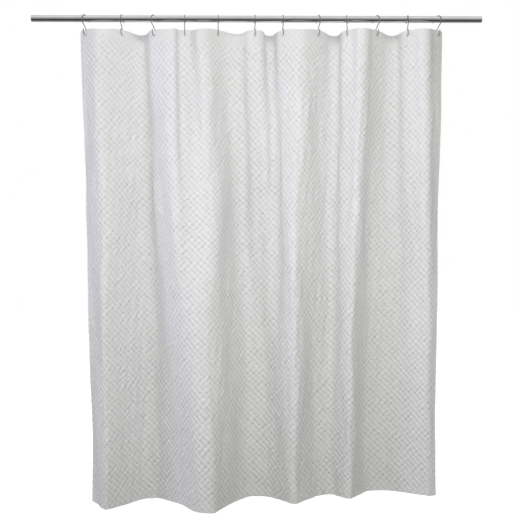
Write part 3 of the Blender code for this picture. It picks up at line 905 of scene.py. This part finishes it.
def stitch_faces(start):
    """The faces of a short thread whose points are numbered from start."""
    near = start + 1
    far = near + STITCH_SIDES
    last = far + STITCH_SIDES
    faces = []
    for j in range(STITCH_SIDES):
        n = (j + 1) % STITCH_SIDES
        faces.append((start, near + n, near + j))
        faces.append((near + j, near + n, far + n, far + j))
        faces.append((far + j, far + n, last))
    return faces


def stitch_row(name, runs, material):
    """Rows of short threads. A run is (flat positions, drops, offset, side) of its stitches' middles."""
    vertices = []
    faces = []
    for flat, drop, offset, side in runs:
        lie = np.full(len(flat), offset) - PUFF_HEIGHT * relief(flat, drop)
        middles = cloth_points(flat[:, None], drop[:, None], lie[:, None])[:, 0]
        along = np.gradient(middles, axis=0)
        along /= np.linalg.norm(along, axis=1)[:, None]
        ahead = cloth_points(flat[:, None], drop[:, None], lie[:, None] + side * 0.001)[:, 0] - middles
        out = ahead - (ahead * along).sum(1)[:, None] * along
        out /= np.linalg.norm(out, axis=1)[:, None]
        wide = np.cross(along, out)
        for stitch in zip(middles, along, out, wide, strict=True):
            faces += stitch_faces(len(vertices))
            vertices += one_stitch(*stitch)
    return new_piece(name, vertices, faces, material)


def slot_outline(along):
    """Point and outward direction on the buttonhole's outline, at a share of the way round it."""
    radius = HOLE_HEIGHT / 2
    straight = HOLE_LENGTH - HOLE_HEIGHT
    bend = math.pi * radius
    gone = (along % 1) * 2 * (straight + bend)
    side = 1 if gone < straight + bend else -1
    gone %= straight + bend
    if gone < straight:
        return side * (gone - straight / 2), -side * radius, 0.0, -side
    angle = (gone - straight) / radius - math.pi / 2
    c, s = side * math.cos(angle), side * math.sin(angle)
    return side * straight / 2 + radius * c, radius * s, c, s


def buttonhole_stitches(back, material):
    """Closely set threads over each buttonhole's edge, from the front round to the back."""
    pick = np.random.default_rng(11)
    flats, drops, offsets, sides = [], [], [], []
    for hook in HOOK_FLAT:
        for i in range(SATIN_STITCHES):
            a, b, na, nb = slot_outline(i / SATIN_STITCHES)
            out = SATIN_REACH + pick.uniform(-0.00015, 0.00025)
            route = (
                (out, -0.00010),
                (out * 0.85, -0.00050),
                (out * 0.35, -0.00060),
                (0.00005, -0.00035),
                (-0.00015, back / 2),
                (0.00005, back + 0.00035),
                (out * 0.35, back + 0.00060),
                (out * 0.85, back + 0.00050),
                (out, back + 0.00010),
            )
            for away, offset in route:
                flats.append(hook + a + na * away)
                drops.append(HOLE_DROP + b + nb * away)
                offsets.append(offset)
                sides.append((-nb, na))
    steps = len(route)
    flat, drop, offset, side = (np.array(v) for v in (flats, drops, offsets, sides))
    lie = offset - PUFF_HEIGHT * relief(flat, drop)
    row = cloth_points(flat[None], drop[None], lie[None])[0]
    flat = flat + side[:, 0] * SMALL_STEP
    drop = drop + side[:, 1] * SMALL_STEP
    beside = cloth_points(flat[None], drop[None], lie[None])[0]
    paths = row.reshape(-1, steps, 3)
    wide = (beside - row).reshape(-1, steps, 3)
    wide /= np.linalg.norm(wide, axis=2)[..., None]
    ahead = np.gradient(paths, axis=1)
    ahead /= np.linalg.norm(ahead, axis=2)[..., None]
    deep = np.cross(ahead, wide)
    rings = []
    for turn in 2 * math.pi * np.arange(SATIN_SIDES) / SATIN_SIDES:
        flatwise = SATIN_HALF_WIDTH * math.cos(turn) * wide
        rings.append(paths + flatwise + SATIN_HALF_DEPTH * math.sin(turn) * deep)
    vertices = np.stack(rings, 2).reshape(-1, 3)
    count = steps * SATIN_SIDES
    first_cap = tuple(range(SATIN_SIDES - 1, -1, -1))
    last_cap = tuple(range(count - SATIN_SIDES, count))
    one = [*rings_joined(steps, SATIN_SIDES, False), first_cap, last_cap]
    faces = [tuple(count * i + v for v in face) for i in range(len(paths)) for face in one]
    return new_piece("buttonhole_threads", vertices, faces, material)


def goes_with_cloth(obj):
    """A piece of the cloth: it is parented to the first hook's section, with a mesh of its own."""
    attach(obj, "section_01")
    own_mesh(obj)
    return obj


def make_cloth(fabric, thread):
    steps = CELLS * SAMPLES_PER_CELL
    columns = snapped(np.linspace(0, CLOTH_WIDTH, steps + 1), HOOK_FLAT)
    hem_top = CLOTH_HEIGHT - BOTTOM_HEM
    rows = snapped(np.linspace(0, CLOTH_HEIGHT, steps + 1), [HOLE_DROP, HEADER_HEIGHT, hem_top])
    sheet = slab("curtain_cloth", columns, rows, 0, THICKNESS, fabric, holes=True)
    behind = THICKNESS + LAYER_GAP
    back = behind + THICKNESS
    header_rows = rows[rows <= HEADER_HEIGHT + 1e-6].copy()
    header_rows[0] = LAYER_TRIM
    band = slab("header_band", columns, header_rows, behind, back, fabric, holes=True)
    side_rows = rows[(rows >= HEADER_HEIGHT - 1e-6) & (rows <= hem_top + 1e-6)].copy()
    side_rows[0] += LAYER_TRIM
    side_rows[-1] -= LAYER_TRIM
    left_columns = columns[columns <= SIDE_HEM]
    right_columns = columns[columns >= CLOTH_WIDTH - SIDE_HEM]
    left = slab("left_side_hem_cloth", left_columns, side_rows, behind, back, fabric)
    right = slab("right_side_hem_cloth", right_columns, side_rows, behind, back, fabric)
    hem_rows = rows[rows >= hem_top - 1e-6]
    bottom = slab("bottom_hem_cloth", columns, hem_rows, behind, back, fabric)

    along = np.arange(ROW_FROM_EDGE, CLOTH_WIDTH - 0.004, ROW_PITCH)
    down = np.arange(ROW_FROM_EDGE, CLOTH_HEIGHT - ROW_FROM_EDGE, ROW_PITCH)
    faces_sewn = ((-ROW_LIFT, -1), (back + ROW_LIFT, 1))

    def runs_at(drop):
        return [(along, np.full(len(along), drop), offset, side) for offset, side in faces_sewn]

    header_runs = [run for up in HEADER_ROWS for run in runs_at(HEADER_HEIGHT - up)]
    header_line = stitch_row("header_stitching", header_runs, thread)
    hem_line = stitch_row("bottom_hem_stitching", runs_at(hem_top + ROW_FROM_HEM), thread)
    side_lines = []
    for name, flat in (("left", SIDE_HEM - ROW_FROM_HEM), ("right", CLOTH_WIDTH - SIDE_HEM + ROW_FROM_HEM)):
        runs = [(np.full(len(down), flat), down, offset, side) for offset, side in faces_sewn]
        side_lines.append(stitch_row(f"{name}_side_stitching", runs, thread))

    holes_line = buttonhole_stitches(back, thread)
    for piece in (sheet, band, left, right, bottom):
        goes_with_cloth(piece)
    for piece in (header_line, hem_line, holes_line, *side_lines):
        goes_with_cloth(piece)
    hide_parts(*(f"buttonhole_stitching_{label}" for label in LABELS))
    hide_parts(*(f"cloth_panel_{label}" for label in LABELS))
    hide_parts(*(f"header_band_{label}" for label in LABELS))
    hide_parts("left_side_hem")
    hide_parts("right_side_hem")


def main():
    make_camera()
    make_lights()
    make_world()
    make_floor()
    chrome = polished("chrome", CHROME_BRIGHT)
    # The hooks get a darker copy of the chrome: painted shade.
    shaded_hook_chrome = polished("shaded_hook_chrome", SHADED_WIRE_BRIGHT)
    fabric = woven("waffle_fabric", WHITE)
    thread = sewing_thread("thread")
    make_cloth(fabric, thread)
    make_rod(chrome)
    make_hooks(shaded_hook_chrome)


main()
